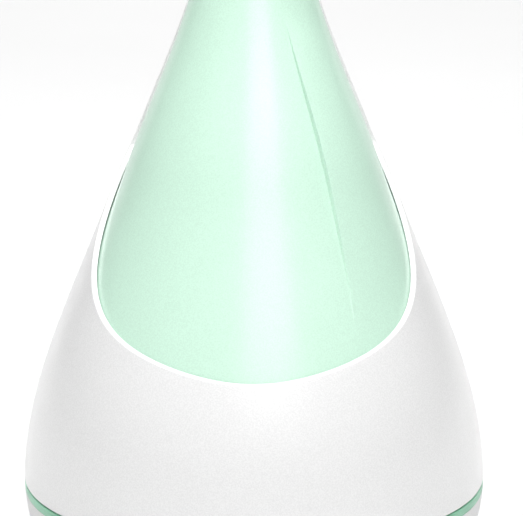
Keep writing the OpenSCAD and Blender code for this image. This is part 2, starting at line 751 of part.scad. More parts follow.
// keeps what lies inside the housing's outline, less a skin, around one button
module below_skin(side, skin) {
    intersection() {
        children();
        translate([-side * button_pitch / 2, 0, -button_z])
            solid_within(base_table, foot_h, ring_bottom, skin);
    }
}
module plunger_at(side) {
    color("dimgray") translate([side * button_pitch / 2, 0, button_z])
        along_y(1.6, plunger_y, switch_y + 1.8);
}
module mist_button() {
    button_at(-1);
}
module mist_plunger() {
    plunger_at(-1);
}
module light_button() {
    button_at(1);
}
module light_plunger() {
    plunger_at(1);
}
module tact_switches() {
    color([0.2, 0.2, 0.22]) at_buttons() difference() {
        translate([-3, switch_y, -3]) cube([6, button_board_y - switch_y, 6]);
        along_y(1.6 + screw_gap, switch_y - 1, switch_y + 1.8 + button_travel + 0.4);
    }
}
module button_board() {
    half = button_screw_x + 4;
    color(board_green) difference() {
        translate([-half, button_board_y, button_z - button_board_h / 2])
            cube([2 * half, board_t, button_board_h]);
        for (s = [-1, 1]) translate([s * button_screw_x, 0, button_z])
            along_y(1.4, button_board_y - 1, button_board_y + 3);
    }
}
module button_screws() {
    color("silver") for (s = [-1, 1]) translate([s * button_screw_x, button_board_y + board_t, button_z])
        rotate([90, 0, 0]) screw(2.2, 1.5, 1.1, 7.5);
}

// ---- leads ----
// A smooth line through hand-set points, and a round tube swept along it.
function smooth(p, i, t) =
    let (n = len(p) - 1, a = p[max(0, i - 1)], b = p[i], c = p[i + 1], d = p[min(n, i + 2)])
    0.5 * (2 * b + (c - a) * t + (2 * a - 5 * b + 4 * c - d) * t * t + (3 * b - a - 3 * c + d) * t * t * t);
function route(p, steps) =
    concat([for (i = [0:len(p) - 2]) for (k = [0:steps - 1]) smooth(p, i, k / steps)], [p[len(p) - 1]]);
function unit(v) = v / norm(v);
function tangents(p) =
    [for (i = [0:len(p) - 1]) unit(p[min(len(p) - 1, i + 1)] - p[max(0, i - 1)])];
// side vectors that turn as little as possible from ring to ring
function sides(tan, i, last, done) =
    i == len(tan) ? done
    : let (s = unit(last - (last * tan[i]) * tan[i])) sides(tan, i + 1, s, concat(done, [s]));
module lead(points, r) {
    line = route(points, 4);
    tan = tangents(line);
    side = sides(tan, 0, abs(tan[0][2]) > 0.8 ? [1, 0, 0] : [0, 0, 1], []);
    around = 8;
    n = len(line);
    rings = [for (i = [0:n - 1]) for (k = [0:around - 1])
        line[i] + r * (cos(k * 45) * side[i] + sin(k * 45) * cross(tan[i], side[i]))];
    polyhedron(rings, concat(
        [for (i = [0:n - 2]) for (k = [0:around - 1]) each [
            [i * around + k, (i + 1) * around + (k + 1) % around, i * around + (k + 1) % around],
            [i * around + k, (i + 1) * around + k, (i + 1) * around + (k + 1) % around]
        ]],
        [[for (k = [0:around - 1]) k], [for (k = [around - 1:-1:0]) (n - 1) * around + k]]
    ));
}
// two leads side by side, set apart across both ends and along the runs between
module lead_pair(points, r, across = [1, 0, 1]) {
    for (s = [-1, 1]) lead([for (p = points) p + s * 1.15 * r * across], r);
}
plug_z = board_top + 3.2;
solder_gap = 0.2;
// free height between the sockets and the disc's clamp; every lead bends within it
lead_room = seat_bottom - clamp_t - plug_z;
// the last stretch of every lead, straight down into its socket
function plugged(socket) = [for (h = [0.5, 0.25, 0]) [socket[0], socket[1], plug_z + h * lead_room]];

module power_leads() {
    back = jack_face_y - 16 - solder_gap;
    color("firebrick") lead_pair(concat([
        [0, back, jack_z], [0, back - 4, jack_z], [12, back - 9, jack_z - 5],
        [25, fan_y + 20, floor_top + 4], [27, fan_y, floor_top + 4], [26, fan_y - 20, board_top + 5]
    ], plugged(power_socket)), 0.7);
}
module fan_leads() {
    edge = fan_y - fan_size / 2 - solder_gap;
    color("black") lead_pair(concat([
        [15, edge, fan_z + 3], [15, edge - 2.5, fan_z + 3], [14, edge - 5, fan_z + 9]
    ], plugged(fan_socket)), 0.55);
}
module disc_leads() {
    color("gray") lead_pair(concat([
        [-2.4, disc_y, disc_z - 0.3 - solder_gap], [-2.4, disc_y, disc_z - 3],
        [-8, disc_y, plug_z + 0.6 * lead_room]
    ], plugged(disc_socket)), 0.55, [1, 1, 0]);
}
module float_leads() {
    color("black") lead(concat([
        [float_x, float_y, tank_out_z - 3 - solder_gap], [float_x, float_y, tank_out_z - 6],
        [float_x - 2, float_y - 12, plug_z + 0.78 * lead_room]
    ], plugged(float_socket)), 0.6);
}
module button_leads() {
    back = button_board_y + board_t + solder_gap;
    color("gray") lead_pair(concat([
        [6, back, button_z - 3], [6, back + 2.5, button_z - 3], [10, back + 6, plug_z + 0.59 * lead_room]
    ], plugged(button_socket)), 0.55);
}
module led_leads() {
    start = (led_board_in_r + 2) * [-cos(25), -sin(25)];
    under = led_board_top - board_t - solder_gap;
    color("ivory") lead_pair(concat([
        [start[0], start[1], under], [start[0], start[1], under - 3], [start[0] + 9, start[1], under - 9],
        [-34, board_y - 2, plug_z + 0.78 * lead_room], [-20, board_y - 13, plug_z + 0.78 * lead_room]
    ], plugged(led_socket)), 0.5, [1, 1, 0]);
}

outer_shell();
bud_shell();
light_ring();
deck_ring();
tank_bowl();
air_tube();
splash_lid();
level_float();
float_magnet();
float_cap();
reed_switch();
base_housing();
rubber_feet();
housing_screws();
mist_disc();
disc_seal();
disc_clamp();
clamp_screws();
fan_frame();
fan_rotor();
fan_magnet();
fan_shaft();
fan_bearing();
fan_stator();
fan_screws();
air_duct();
duct_gasket();
main_board();
board_screws();
wifi_module();
driver_coil();
capacitors();
board_chips();
board_sockets();
led_board();
ring_leds();
dc_jack();
jack_nut();
jack_pin();
button_board();
button_screws();
tact_switches();
mist_button();
mist_plunger();
light_button();
light_plunger();
power_leads();
fan_leads();
disc_leads();
button_leads();
led_leads();
float_leads();
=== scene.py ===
"""Cool mist humidifier with a flower bud body: finished surfaces around the CAD frame."""

import json
import math

import bmesh
import bpy
from mathutils import Matrix, Vector

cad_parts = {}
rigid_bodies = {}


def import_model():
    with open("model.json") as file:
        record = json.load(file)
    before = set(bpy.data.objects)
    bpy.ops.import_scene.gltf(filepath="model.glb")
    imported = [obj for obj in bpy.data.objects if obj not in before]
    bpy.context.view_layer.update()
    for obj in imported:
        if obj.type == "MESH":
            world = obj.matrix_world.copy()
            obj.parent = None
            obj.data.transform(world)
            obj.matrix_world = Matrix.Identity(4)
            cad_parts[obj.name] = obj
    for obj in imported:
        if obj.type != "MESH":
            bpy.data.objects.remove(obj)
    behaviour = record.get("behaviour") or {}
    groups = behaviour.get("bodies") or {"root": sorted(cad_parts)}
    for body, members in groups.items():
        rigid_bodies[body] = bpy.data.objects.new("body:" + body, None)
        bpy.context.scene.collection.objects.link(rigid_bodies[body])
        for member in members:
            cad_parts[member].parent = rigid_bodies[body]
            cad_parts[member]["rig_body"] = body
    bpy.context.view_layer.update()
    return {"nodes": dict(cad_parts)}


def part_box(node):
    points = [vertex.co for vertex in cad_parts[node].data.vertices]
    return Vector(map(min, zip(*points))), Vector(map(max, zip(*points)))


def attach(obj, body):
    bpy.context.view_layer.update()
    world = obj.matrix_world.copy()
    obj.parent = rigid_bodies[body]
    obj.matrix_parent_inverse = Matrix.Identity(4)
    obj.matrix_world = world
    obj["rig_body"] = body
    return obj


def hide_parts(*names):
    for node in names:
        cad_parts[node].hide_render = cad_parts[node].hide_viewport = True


bl_info = {
    "name": "Bud Humidifier",
    "version": (1, 0, 0),
    "blender": (4, 5, 0),
    "location": "View3D > Sidebar > Humidifier",
    "description": "Builds the shells, light ring, base, controls and finishes of a bud-shaped humidifier",
    "category": "Object",
}

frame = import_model()
MM = 0.001
WELD = 1e-7  # points closer than this, in metres, are one point


# ---------------------------------------------------------------- sizes and colours


class HUM_Sizes(bpy.types.PropertyGroup):
    """Sizes of the finished surfaces that the CAD frame doesn't give"""

    shell_wall: bpy.props.FloatProperty(
        name="Shell wall", description="Level thickness of the white shell", default=0.0022, unit="LENGTH")
    bud_wall: bpy.props.FloatProperty(
        name="Bud wall", description="Level thickness of the bud", default=0.0020, unit="LENGTH")
    bud_gap: bpy.props.FloatProperty(
        name="Bud gap", description="Gap between the shell and the bud", default=0.0003, unit="LENGTH")
    rim_round: bpy.props.FloatProperty(
        name="Rim rounding", description="Radius of the window rim's edges", default=0.00045, unit="LENGTH")
    fold_step: bpy.props.FloatProperty(
        name="Petal step", description="How far one petal stands proud of the other", default=0.0021,
        unit="LENGTH")
    fold_angle: bpy.props.FloatProperty(
        name="Petal fold", description="Azimuth of the fold from the front towards the right",
        default=math.radians(35.1), subtype="ANGLE")
    mouth_tilt: bpy.props.FloatProperty(
        name="Mouth slant", description="Slant of the mist outlet", default=math.radians(24),
        subtype="ANGLE")
    button_round: bpy.props.FloatProperty(
        name="Button rounding", description="Radius of the button caps' edges", default=0.0006,
        unit="LENGTH")


class HUM_Finish(bpy.types.PropertyGroup):
    """Colours and grain of the paints"""

    shell_white: bpy.props.FloatVectorProperty(
        name="Shell white", description="Paint of the outer shell", default=(0.70, 0.70, 0.70),
        subtype="COLOR", size=3)
    bud_mint: bpy.props.FloatVectorProperty(
        name="Bud mint", description="Paint of the bud", default=(0.51, 0.72, 0.593), subtype="COLOR",
        size=3)
    ring_mint: bpy.props.FloatVectorProperty(
        name="Ring mint", description="Tint of the light ring", default=(0.22, 0.50, 0.34), subtype="COLOR",
        size=3)
    grain_size: bpy.props.FloatProperty(
        name="Paint grain", description="Size of the satin paint's grain", default=0.0005, unit="LENGTH")
    grain_depth: bpy.props.FloatProperty(
        name="Grain depth", description="Depth of the satin paint's grain", default=0.00003, unit="LENGTH")


def sizes():
    return bpy.context.scene.humidifier_sizes


def finish():
    return bpy.context.scene.humidifier_finish


# ---------------------------------------------------------------- outlines, in metres


def bezier(points, t):
    """Point on a cubic curve through 2-D control points."""
    a, b, c, d = (Vector(p) for p in points)
    s = 1 - t
    return s ** 3 * a + 3 * s * s * t * b + 3 * s * t * t * c + t ** 3 * d


def table(curves, steps):
    """[height, radius] pairs along one or more [radius, height] curves, from low to high."""
    out = []
    for n, points in enumerate(curves):
        out += [bezier(points, i / steps) for i in range(1 if n else 0, steps + 1)]
    return [(p.y, p.x) for p in out]


def reader(pairs):
    """Function that reads the radius at a height from a table."""

    def read(z):
        if z <= pairs[0][0]:
            return pairs[0][1]
        for (z0, r0), (z1, r1) in zip(pairs, pairs[1:]):
            if z <= z1:
                return r0 + (r1 - r0) * (z - z0) / (z1 - z0)
        return pairs[-1][1]

    cache = {}

    def cached(z):
        key = round(z, 7)
        if key not in cache:
            cache[key] = read(z)
        return cache[key]

    return cached


SHELL_LOW, SHELL_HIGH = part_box("outer_shell")
BUD_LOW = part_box("bud_shell")[0]
HOUSE_LOW, HOUSE_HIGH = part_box("base_housing")
RING_LOW, RING_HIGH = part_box("light_ring")
BODY_R = SHELL_HIGH.x
SEAM_Z = RING_HIGH.z + 0.2 * MM
PETAL_Z = SHELL_HIGH.z
TIP_Z = PETAL_Z + 10 * MM
HOUSING_WALL, HOUSING_FLOOR = 2.2 * MM, 2.5 * MM
SCREW_RING_R, FOOT_RING_R, FOOT_R = 59 * MM, 50 * MM, 7 * MM
KEY_FLANGE = 1.6 * MM  # how far a button's hidden flange stands out past its cap
KEY_SINK = 0.4 * MM    # how far a button's cap lies below the housing's skin
WAIST_R, WAIST_RISE, WAIST_SLOPE, TIP_R = 47.6 * MM, 117 * MM, 0.35, 11 * MM
WAIST_Z = SEAM_Z + WAIST_RISE
NECK_H = TIP_Z - WAIST_Z
WINDOW_Z = SEAM_Z + 55.2 * MM

shell_r = reader(table([
    [(BODY_R, SEAM_Z), (BODY_R, SEAM_Z + 0.32 * WAIST_RISE),
     (WAIST_R + WAIST_SLOPE * 0.36 * WAIST_RISE, WAIST_Z - 0.36 * WAIST_RISE), (WAIST_R, WAIST_Z)],
    [(WAIST_R, WAIST_Z), (WAIST_R - WAIST_SLOPE * 0.32 * NECK_H, WAIST_Z + 0.32 * NECK_H),
     (TIP_R + 0.1 * NECK_H, TIP_Z - 0.59 * NECK_H), (TIP_R, TIP_Z)],
], 120))

FLOOR_Z = HOUSE_LOW.z
house_r = reader(table([
    [(60 * MM, FLOOR_Z), (77 * MM, FLOOR_Z + 7 * MM), (BODY_R, SEAM_Z - 15 * MM), (BODY_R, SEAM_Z)],
], 120))


def around(azimuth, radius, z):
    """Point at an azimuth counted from the front towards the right."""
    return Vector((radius * math.sin(azimuth), -radius * math.cos(azimuth), z))


# ---------------------------------------------------------------- mesh helpers


def soften(bm, sharp):
    """Makes every face smooth and keeps the edges past an angle, in degrees, sharp."""
    for f in bm.faces:
        f.smooth = True
    for e in bm.edges:
        e.smooth = len(e.link_faces) == 2 and e.calc_face_angle(0) < math.radians(sharp)


def placed(bm, name, body, material):
    """Turns a bmesh into an object that rides on one body."""
    mesh = bpy.data.meshes.new(name)
    bm.to_mesh(mesh)
    bm.free()
    obj = bpy.data.objects.new(name, mesh)
    bpy.context.scene.collection.objects.link(obj)
    mesh.materials.append(material)
    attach(obj, body)
    return obj


def keep(bm, name, body, material, sharp=35):
    """Joins the seams of a finished bmesh, turns its faces outward and places it on a body."""
    bmesh.ops.remove_doubles(bm, verts=bm.verts, dist=WELD)
    bmesh.ops.recalc_face_normals(bm, faces=bm.faces)
    soften(bm, sharp)
    return placed(bm, name, body, material)


def spun(rows, columns, place):
    """A closed chain of points spun full circle; row i of column k then goes to place(i, k)."""
    bm = bmesh.new()
    chain = [bm.verts.new((1, 0, i)) for i in range(rows)]
    edges = [bm.edges.new((chain[i], chain[(i + 1) % rows])) for i in range(rows)]
    bmesh.ops.spin(bm, geom=chain + edges, cent=(0, 0, 0), axis=(0, 0, 1), dvec=(0, 0, 0),
                   angle=2 * math.pi, steps=columns, use_merge=True, use_duplicate=False)
    for v in bm.verts:
        k = round(math.atan2(v.co.y, v.co.x) / (2 * math.pi) * columns) % columns
        v.co = place(round(v.co.z), k)
    return bm


def turned(profile, columns=192, centre=(0, 0, 0), axis="Z"):
    """Solid of revolution from a closed [radius, height] profile; a radius of 0 closes at a pole."""
    c = Vector(centre)

    def place(i, k):
        a = 2 * math.pi * k / columns
        r, h = profile[i]
        if axis == "Y":
            return c + Vector((r * math.cos(a), h, r * math.sin(a)))
        return c + Vector((r * math.sin(a), -r * math.cos(a), h))

    return spun(len(profile), columns, place)


def rounded(corners, radius, steps=4):
    """Closed profile with its corners rounded; a corner may carry its own radius as a third number."""
    out = []
    n = len(corners)
    for i, corner in enumerate(corners):
        p = Vector(corner[:2])
        before, after = Vector(corners[i - 1][:2]) - p, Vector(corners[(i + 1) % n][:2]) - p
        r = corner[2] if len(corner) > 2 else radius
        half = before.angle(after) / 2
        if r <= 0 or half > math.radians(85):
            out.append(tuple(p))
            continue
        reach = min(r / math.tan(half), 0.49 * before.length, 0.49 * after.length)
        a, b = p + before.normalized() * reach, p + after.normalized() * reach
        for s in range(steps + 1):
            t = s / steps
            q = (1 - t) ** 2 * a + 2 * t * (1 - t) * p + t * t * b
            out.append(tuple(q))
    return out


def welded(node, material):
    """Smooth copy of a CAD node, its loose triangles joined, standing in for the node."""
    source = frame["nodes"][node]
    bm = bmesh.new()
    bm.from_mesh(source.data)
    bmesh.ops.remove_doubles(bm, verts=bm.verts, dist=2e-6)
    soften(bm, 32)
    obj = placed(bm, node + "_finish", source["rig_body"], material)
    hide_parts(node)
    return obj


# ---------------------------------------------------------------- finishes


def new_material(name):
    mat = bpy.data.materials.new(name)
    mat.use_nodes = True
    nodes, links = mat.node_tree.nodes, mat.node_tree.links
    shader = nodes["Principled BSDF"]
    coords = nodes.new("ShaderNodeTexCoord")
    return mat, nodes, links, shader, coords.outputs["Object"]


def noise(nodes, links, where, scale, detail=2.0, stretch=None):
    tex = nodes.new("ShaderNodeTexNoise")
    tex.inputs["Scale"].default_value = scale
    tex.inputs["Detail"].default_value = detail
    if stretch:
        place = nodes.new("ShaderNodeMapping")
        place.inputs["Scale"].default_value = stretch
        links.new(where, place.inputs["Vector"])
        where = place.outputs["Vector"]
    links.new(where, tex.inputs["Vector"])
    return tex.outputs["Fac"]


def spread(nodes, links, value, low, high, low_out, high_out):
    node = nodes.new("ShaderNodeMapRange")
    for key, v in (("From Min", low), ("From Max", high), ("To Min", low_out), ("To Max", high_out)):
        node.inputs[key].default_value = v
    links.new(value, node.inputs["Value"])
    return node.outputs["Result"]


def tinted(nodes, links, value, low, high, dark, light):
    """Two colours mixed by a value between two limits."""
    ramp = nodes.new("ShaderNodeValToRGB")
    ramp.color_ramp.elements[0].position, ramp.color_ramp.elements[1].position = low, high
    ramp.color_ramp.elements[0].color = (*dark, 1)
    ramp.color_ramp.elements[1].color = (*light, 1)
    links.new(value, ramp.inputs["Fac"])
    return ramp.outputs["Color"]


def shade(colour, factor):
    return tuple(min(1.0, c * factor) for c in colour)


def bump(nodes, links, value, depth, shader):
    node = nodes.new("ShaderNodeBump")
    node.inputs["Strength"].default_value = 1.0
    node.inputs["Distance"].default_value = depth
    links.new(value, node.inputs["Height"])
    links.new(node.outputs["Normal"], shader.inputs["Normal"])


def satin_paint(name, colour, roughness=0.42, coat=0.12):
    """Satin paint with a fine pearl grain and a painted highlight that makes its convex edges a touch
    lighter.
    """
    mat, nodes, links, shader, where = new_material(name)
    size, depth = finish().grain_size, finish().grain_depth
    fine = noise(nodes, links, where, 1 / size, 1.5)
    cloud = noise(nodes, links, where, 28, 3.0)
    base = tinted(nodes, links, fine, 0.36, 0.64, shade(colour, 0.955), shade(colour, 1.045))
    # painted highlight: convex edges, found by pointiness, get a lighter paint colour
    edge = nodes.new("ShaderNodeNewGeometry")
    edge_highlight = spread(nodes, links, edge.outputs["Pointiness"], 0.53, 0.62, 0.0, 0.5)
    mix = nodes.new("ShaderNodeMix")
    mix.data_type = "RGBA"
    links.new(edge_highlight, mix.inputs["Factor"])
    links.new(base, mix.inputs["A"])
    mix.inputs["B"].default_value = (*shade(colour, 1.12), 1)
    links.new(mix.outputs["Result"], shader.inputs["Base Color"])
    rough = spread(nodes, links, cloud, 0.3, 0.7, roughness - 0.05, roughness + 0.05)
    links.new(rough, shader.inputs["Roughness"])
    shader.inputs["Coat Weight"].default_value = coat
    shader.inputs["Coat Roughness"].default_value = 0.26
    shader.inputs["Coat IOR"].default_value = 1.85
    shader.inputs["Specular IOR Level"].default_value = 0.15
    bump(nodes, links, fine, depth, shader)
    return mat


def moulded(name, colour, roughness=0.45, grain=0.0006, depth=0.00002, specular=0.5, clear=0.0):
    """Moulded plastic: fine spark-eroded grain and slow changes of gloss; clear lets light through."""
    mat, nodes, links, shader, where = new_material(name)
    fine = noise(nodes, links, where, 1 / grain, 2.5)
    cloud = noise(nodes, links, where, 45, 3.0)
    links.new(tinted(nodes, links, cloud, 0.3, 0.7, shade(colour, 0.94), shade(colour, 1.05)),
              shader.inputs["Base Color"])
    links.new(spread(nodes, links, cloud, 0.3, 0.7, roughness - 0.06, roughness + 0.06),
              shader.inputs["Roughness"])
    shader.inputs["Specular IOR Level"].default_value = specular
    shader.inputs["Transmission Weight"].default_value = clear
    bump(nodes, links, fine, depth, shader)
    return mat


def metal(name, colour, roughness=0.3, brushed=None, depth=0.000008):
    """Metal with fine drawn or turned lines and small changes of gloss."""
    mat, nodes, links, shader, where = new_material(name)
    lines = noise(nodes, links, where, 900, 3.0, brushed or (1, 1, 12))
    cloud = noise(nodes, links, where, 120, 2.0)
    links.new(tinted(nodes, links, cloud, 0.3, 0.7, shade(colour, 0.88), shade(colour, 1.05)),
              shader.inputs["Base Color"])
    links.new(spread(nodes, links, lines, 0.3, 0.7, roughness - 0.08, roughness + 0.1),
              shader.inputs["Roughness"])
    shader.inputs["Metallic"].default_value = 1.0
    bump(nodes, links, lines, depth, shader)
    return mat


def printed_board(name, colour, pad=(0.62, 0.52, 0.28)):
    """Circuit board: solder mask with paler tracks under it and a scatter of plated holes."""
    mat, nodes, links, shader, where = new_material(name)
    cells = nodes.new("ShaderNodeTexVoronoi")
    cells.feature, cells.distance = "DISTANCE_TO_EDGE", "CHEBYCHEV"
    cells.inputs["Scale"].default_value = 190
    links.new(where, cells.inputs["Vector"])
    tracks = tinted(nodes, links, cells.outputs["Distance"], 0.03, 0.09, shade(colour, 1.9), colour)
    dots = nodes.new("ShaderNodeTexVoronoi")
    dots.inputs["Scale"].default_value = 330
    links.new(where, dots.inputs["Vector"])
    mask = spread(nodes, links, dots.outputs["Distance"], 0.12, 0.16, 1.0, 0.0)
    mix = nodes.new("ShaderNodeMix")
    mix.data_type = "RGBA"
    links.new(mask, mix.inputs["Factor"])
    links.new(tracks, mix.inputs["A"])
    mix.inputs["B"].default_value = (*pad, 1)
    links.new(mix.outputs["Result"], shader.inputs["Base Color"])
    shader.inputs["Roughness"].default_value = 0.35
    bump(nodes, links, cells.outputs["Distance"], 0.00003, shader)
    return mat


def wound(name, colour, pitch=0.0006):
    """Enamelled copper winding: even turns of round wire, with painted shade that darkens the grooves
    between the turns.
    """
    mat, nodes, links, shader, where = new_material(name)
    wave = nodes.new("ShaderNodeTexWave")
    wave.bands_direction = "Z"
    wave.inputs["Scale"].default_value = 1 / (pitch * 6.2832) * 2
    wave.inputs["Distortion"].default_value = 0.4
    links.new(where, wave.inputs["Vector"])
    # painted shade: the colour darkens where the wave is low, in the grooves between turns
    links.new(tinted(nodes, links, wave.outputs["Fac"], 0.1, 0.8, shade(colour, 0.35), colour),
              shader.inputs["Base Color"])
    shader.inputs["Metallic"].default_value = 0.8
    shader.inputs["Roughness"].default_value = 0.32
    bump(nodes, links, wave.outputs["Fac"], 0.0001, shader)
    return mat


def light_guide(name, colour):
    """Tinted light guide: satin face and soft depth from light scattered under its surface."""
    mat, nodes, links, shader, where = new_material(name)
    cloud = noise(nodes, links, where, 60, 2.0)
    fine = noise(nodes, links, where, 1800, 2.0)
    links.new(tinted(nodes, links, cloud, 0.3, 0.7, shade(colour, 0.92), shade(colour, 1.08)),
              shader.inputs["Base Color"])
    links.new(spread(nodes, links, fine, 0.3, 0.7, 0.28, 0.4), shader.inputs["Roughness"])
    shader.inputs["Subsurface Weight"].default_value = 0.35
    shader.inputs["Subsurface Radius"].default_value = (0.6, 1.0, 0.8)
    shader.inputs["Subsurface Scale"].default_value = 0.002
    bump(nodes, links, fine, 0.00001, shader)
    return mat


# ---------------------------------------------------------------- the white shell


def side_curve():
    """The window's edge seen from the side, as (y, z) points from the front up to the petal's point."""
    h = PETAL_Z - WINDOW_Z
    turn = Vector((0.137 * BODY_R, WINDOW_Z + 0.375 * h))
    low = [(-shell_r(WINDOW_Z), WINDOW_Z), (-0.64 * BODY_R, WINDOW_Z + 0.058 * h),
           (-0.26 * BODY_R, WINDOW_Z + 0.067 * h), turn]
    high = [turn, turn + Vector((4 * MM, 0.037 * h)),
            (0.45 * shell_r(PETAL_Z), PETAL_Z - 0.2 * h), (shell_r(PETAL_Z), PETAL_Z)]
    steps = 240
    line = [bezier(low, i / steps) for i in range(steps + 1)]
    return line + [bezier(high, i / steps) for i in range(1, steps + 1)]


def rim_points(count):
    """Azimuth and height of the window's edge at even steps along it, from the front to the back."""
    spots = []
    for p in side_curve():
        r = shell_r(p.y)
        a = math.acos(max(-1.0, min(1.0, -p.x / r)))
        spots.append((a, p.y, around(a, r, p.y)))
    spots[0] = (0.0, *spots[0][1:])
    spots[-1] = (math.pi, *spots[-1][1:])
    run = [0.0]
    for p, q in zip(spots, spots[1:]):
        run.append(run[-1] + (q[2] - p[2]).length)
    out, j = [], 0
    for i in range(count + 1):
        goal = run[-1] * i / count
        while j < len(run) - 2 and run[j + 1] < goal:
            j += 1
        t = (goal - run[j]) / max(run[j + 1] - run[j], 1e-9)
        out.append((spots[j][0] + t * (spots[j + 1][0] - spots[j][0]),
                    spots[j][1] + t * (spots[j + 1][1] - spots[j][1])))
    return out


def shell_columns(half):
    """For each column: its azimuth at the bottom, its end at the rim, and the way into the wall there."""
    rim = rim_points(half)
    out = []
    for i, (a, z) in enumerate(rim):
        a0, z0 = rim[max(0, i - 1)]
        a1, z1 = rim[min(half, i + 1)]
        along = around(a1, shell_r(z1), z1) - around(a0, shell_r(z0), z0)
        out_of = Vector((math.sin(a), -math.cos(a), 0))
        slope = (shell_r(z + MM) - shell_r(z - MM)) / (2 * MM)
        normal = (out_of + Vector((0, 0, -slope))).normalized()
        inward = along.cross(normal).normalized()
        if i in (0, half):
            inward = Vector((0, 0, -1)) + out_of * -slope
            inward.normalize()
        side = Vector((math.cos(a), math.sin(a), 0))
        out.append((0.55 * a + 0.45 * math.pi * i / half, a, z, inward.dot(side), inward.z))
    return out


def make_shell():
    """Outer shell: wraps the bud, open at the window, with a ledge inside that carries the bud."""
    wall, soft = sizes().shell_wall, sizes().rim_round
    half = 210  # columns on each side
    columns = shell_columns(half)
    low, ledge = SHELL_LOW.z, BUD_LOW.z
    start = 60 * MM   # the columns run straight up to here, then bend towards the rim
    ease = 1.5 * MM   # distance from the rim at which they meet it square

    def off_rim(column, off):
        """Azimuth and height at a distance from the rim, straight into the wall."""
        _, a, z, turn, drop = column
        return a + turn * off / shell_r(z), z + drop * off

    def up_wall(column, u):
        """Azimuth and height on the way from the start height, u = 0, to just short of the rim, u = 1."""
        foot, a, z, turn, drop = column
        r = shell_r(z)
        end = Vector((a + turn * ease / r, z + drop * ease))
        lean = min(4 * MM, 0.2 * (z - start))
        before = end + Vector((turn * lean / r, drop * lean))
        p = bezier([(foot, start), (foot, start + 0.4 * (end.y - start)), before, end], u)
        return p.x, p.y

    arc = [math.radians(22.5 * i) for i in range(5)]
    # each row: how its height is found, the value for that, and its depth below the outer skin
    hem = soft * 0.7  # rounding of the bottom edge
    rises, inner_rises = 56, 28  # steps up the outside and down the inside of the wall
    rows = [("level", low + hem * (1 - math.sin(a)), hem * (1 - math.cos(a))) for a in arc[::-1]]
    rows += [("level", low + (start - low) * i / 8, 0) for i in range(1, 8)]
    rows += [("rise", i / rises, 0) for i in range(rises + 1)]
    rows += [("rim", d * MM, 0) for d in (1.1, 0.75)]
    rows += [("rim", soft * (1 - math.sin(a)), soft * (1 - math.cos(a))) for a in arc]
    rows += [("rim", 0, soft + (wall - 2 * soft) * t) for t in (0.33, 0.67)]
    rows += [("rim", soft * (1 - math.sin(a)), wall - soft * (1 - math.cos(a))) for a in arc[::-1]]
    rows += [("rim", d * MM, wall) for d in (0.75, 1.1)]
    rows += [("rise", 1 - i / inner_rises, wall) for i in range(inner_rises + 1)]
    shelf = wall + 3.6 * MM  # the ledge's inner edge
    rows += [("level", ledge + 0.1 * MM, wall), ("level", ledge - 0.02 * MM, shelf),
             ("level", ledge - 1.9 * MM, shelf), ("level", ledge - 2 * MM, wall)]
    rows += [("level", low + 4 * MM, wall), ("level", low, wall)]

    def place(i, k):
        kind, value, depth = rows[i]
        mirror = -1 if k > half else 1
        column = columns[k if k <= half else 2 * half - k]
        if kind == "level":
            a, z = column[0], value
        elif kind == "rise":
            a, z = up_wall(column, value)
        else:
            a, z = off_rim(column, value)
        return around(mirror * a, shell_r(z) - depth, z)

    bm = spun(len(rows), 2 * half, place)
    paint = satin_paint("white_satin_paint", finish().shell_white, 0.33, 0.8)
    obj = keep(bm, "white_shell", "cover", paint, 50)
    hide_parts("outer_shell")
    return obj


# ---------------------------------------------------------------- the bud


FOLD_LOW = WINDOW_Z
FOLD_HIGH = WINDOW_Z + 0.7 * (PETAL_Z - WINDOW_Z)
FOLD_WIDEST = 152 * MM


def fold_height(z):
    """How far the overlapping petal stands proud along the fold, at a height."""
    u = (z - FOLD_LOW) / (FOLD_HIGH - FOLD_LOW)
    if not 0 < u < 1:
        return 0.0
    lift = (sizes().fold_step + 0.6 * MM) * math.sin(math.pi * u ** 1.35) ** 0.9 - 0.6 * MM
    soft = 0.15 * MM
    return 0.5 * (lift + math.sqrt(lift * lift + soft * soft)) - 0.5 * soft * min(1, abs(lift) / soft)


def fold_azimuth(z):
    """The fold bows: it is furthest round at one height and turns back above and below it."""
    away = (z - FOLD_WIDEST) / MM
    turn_back = 0.0018 if away > 0 else 0.0009  # degrees per square millimetre
    return sizes().fold_angle - math.radians(turn_back * away * away)


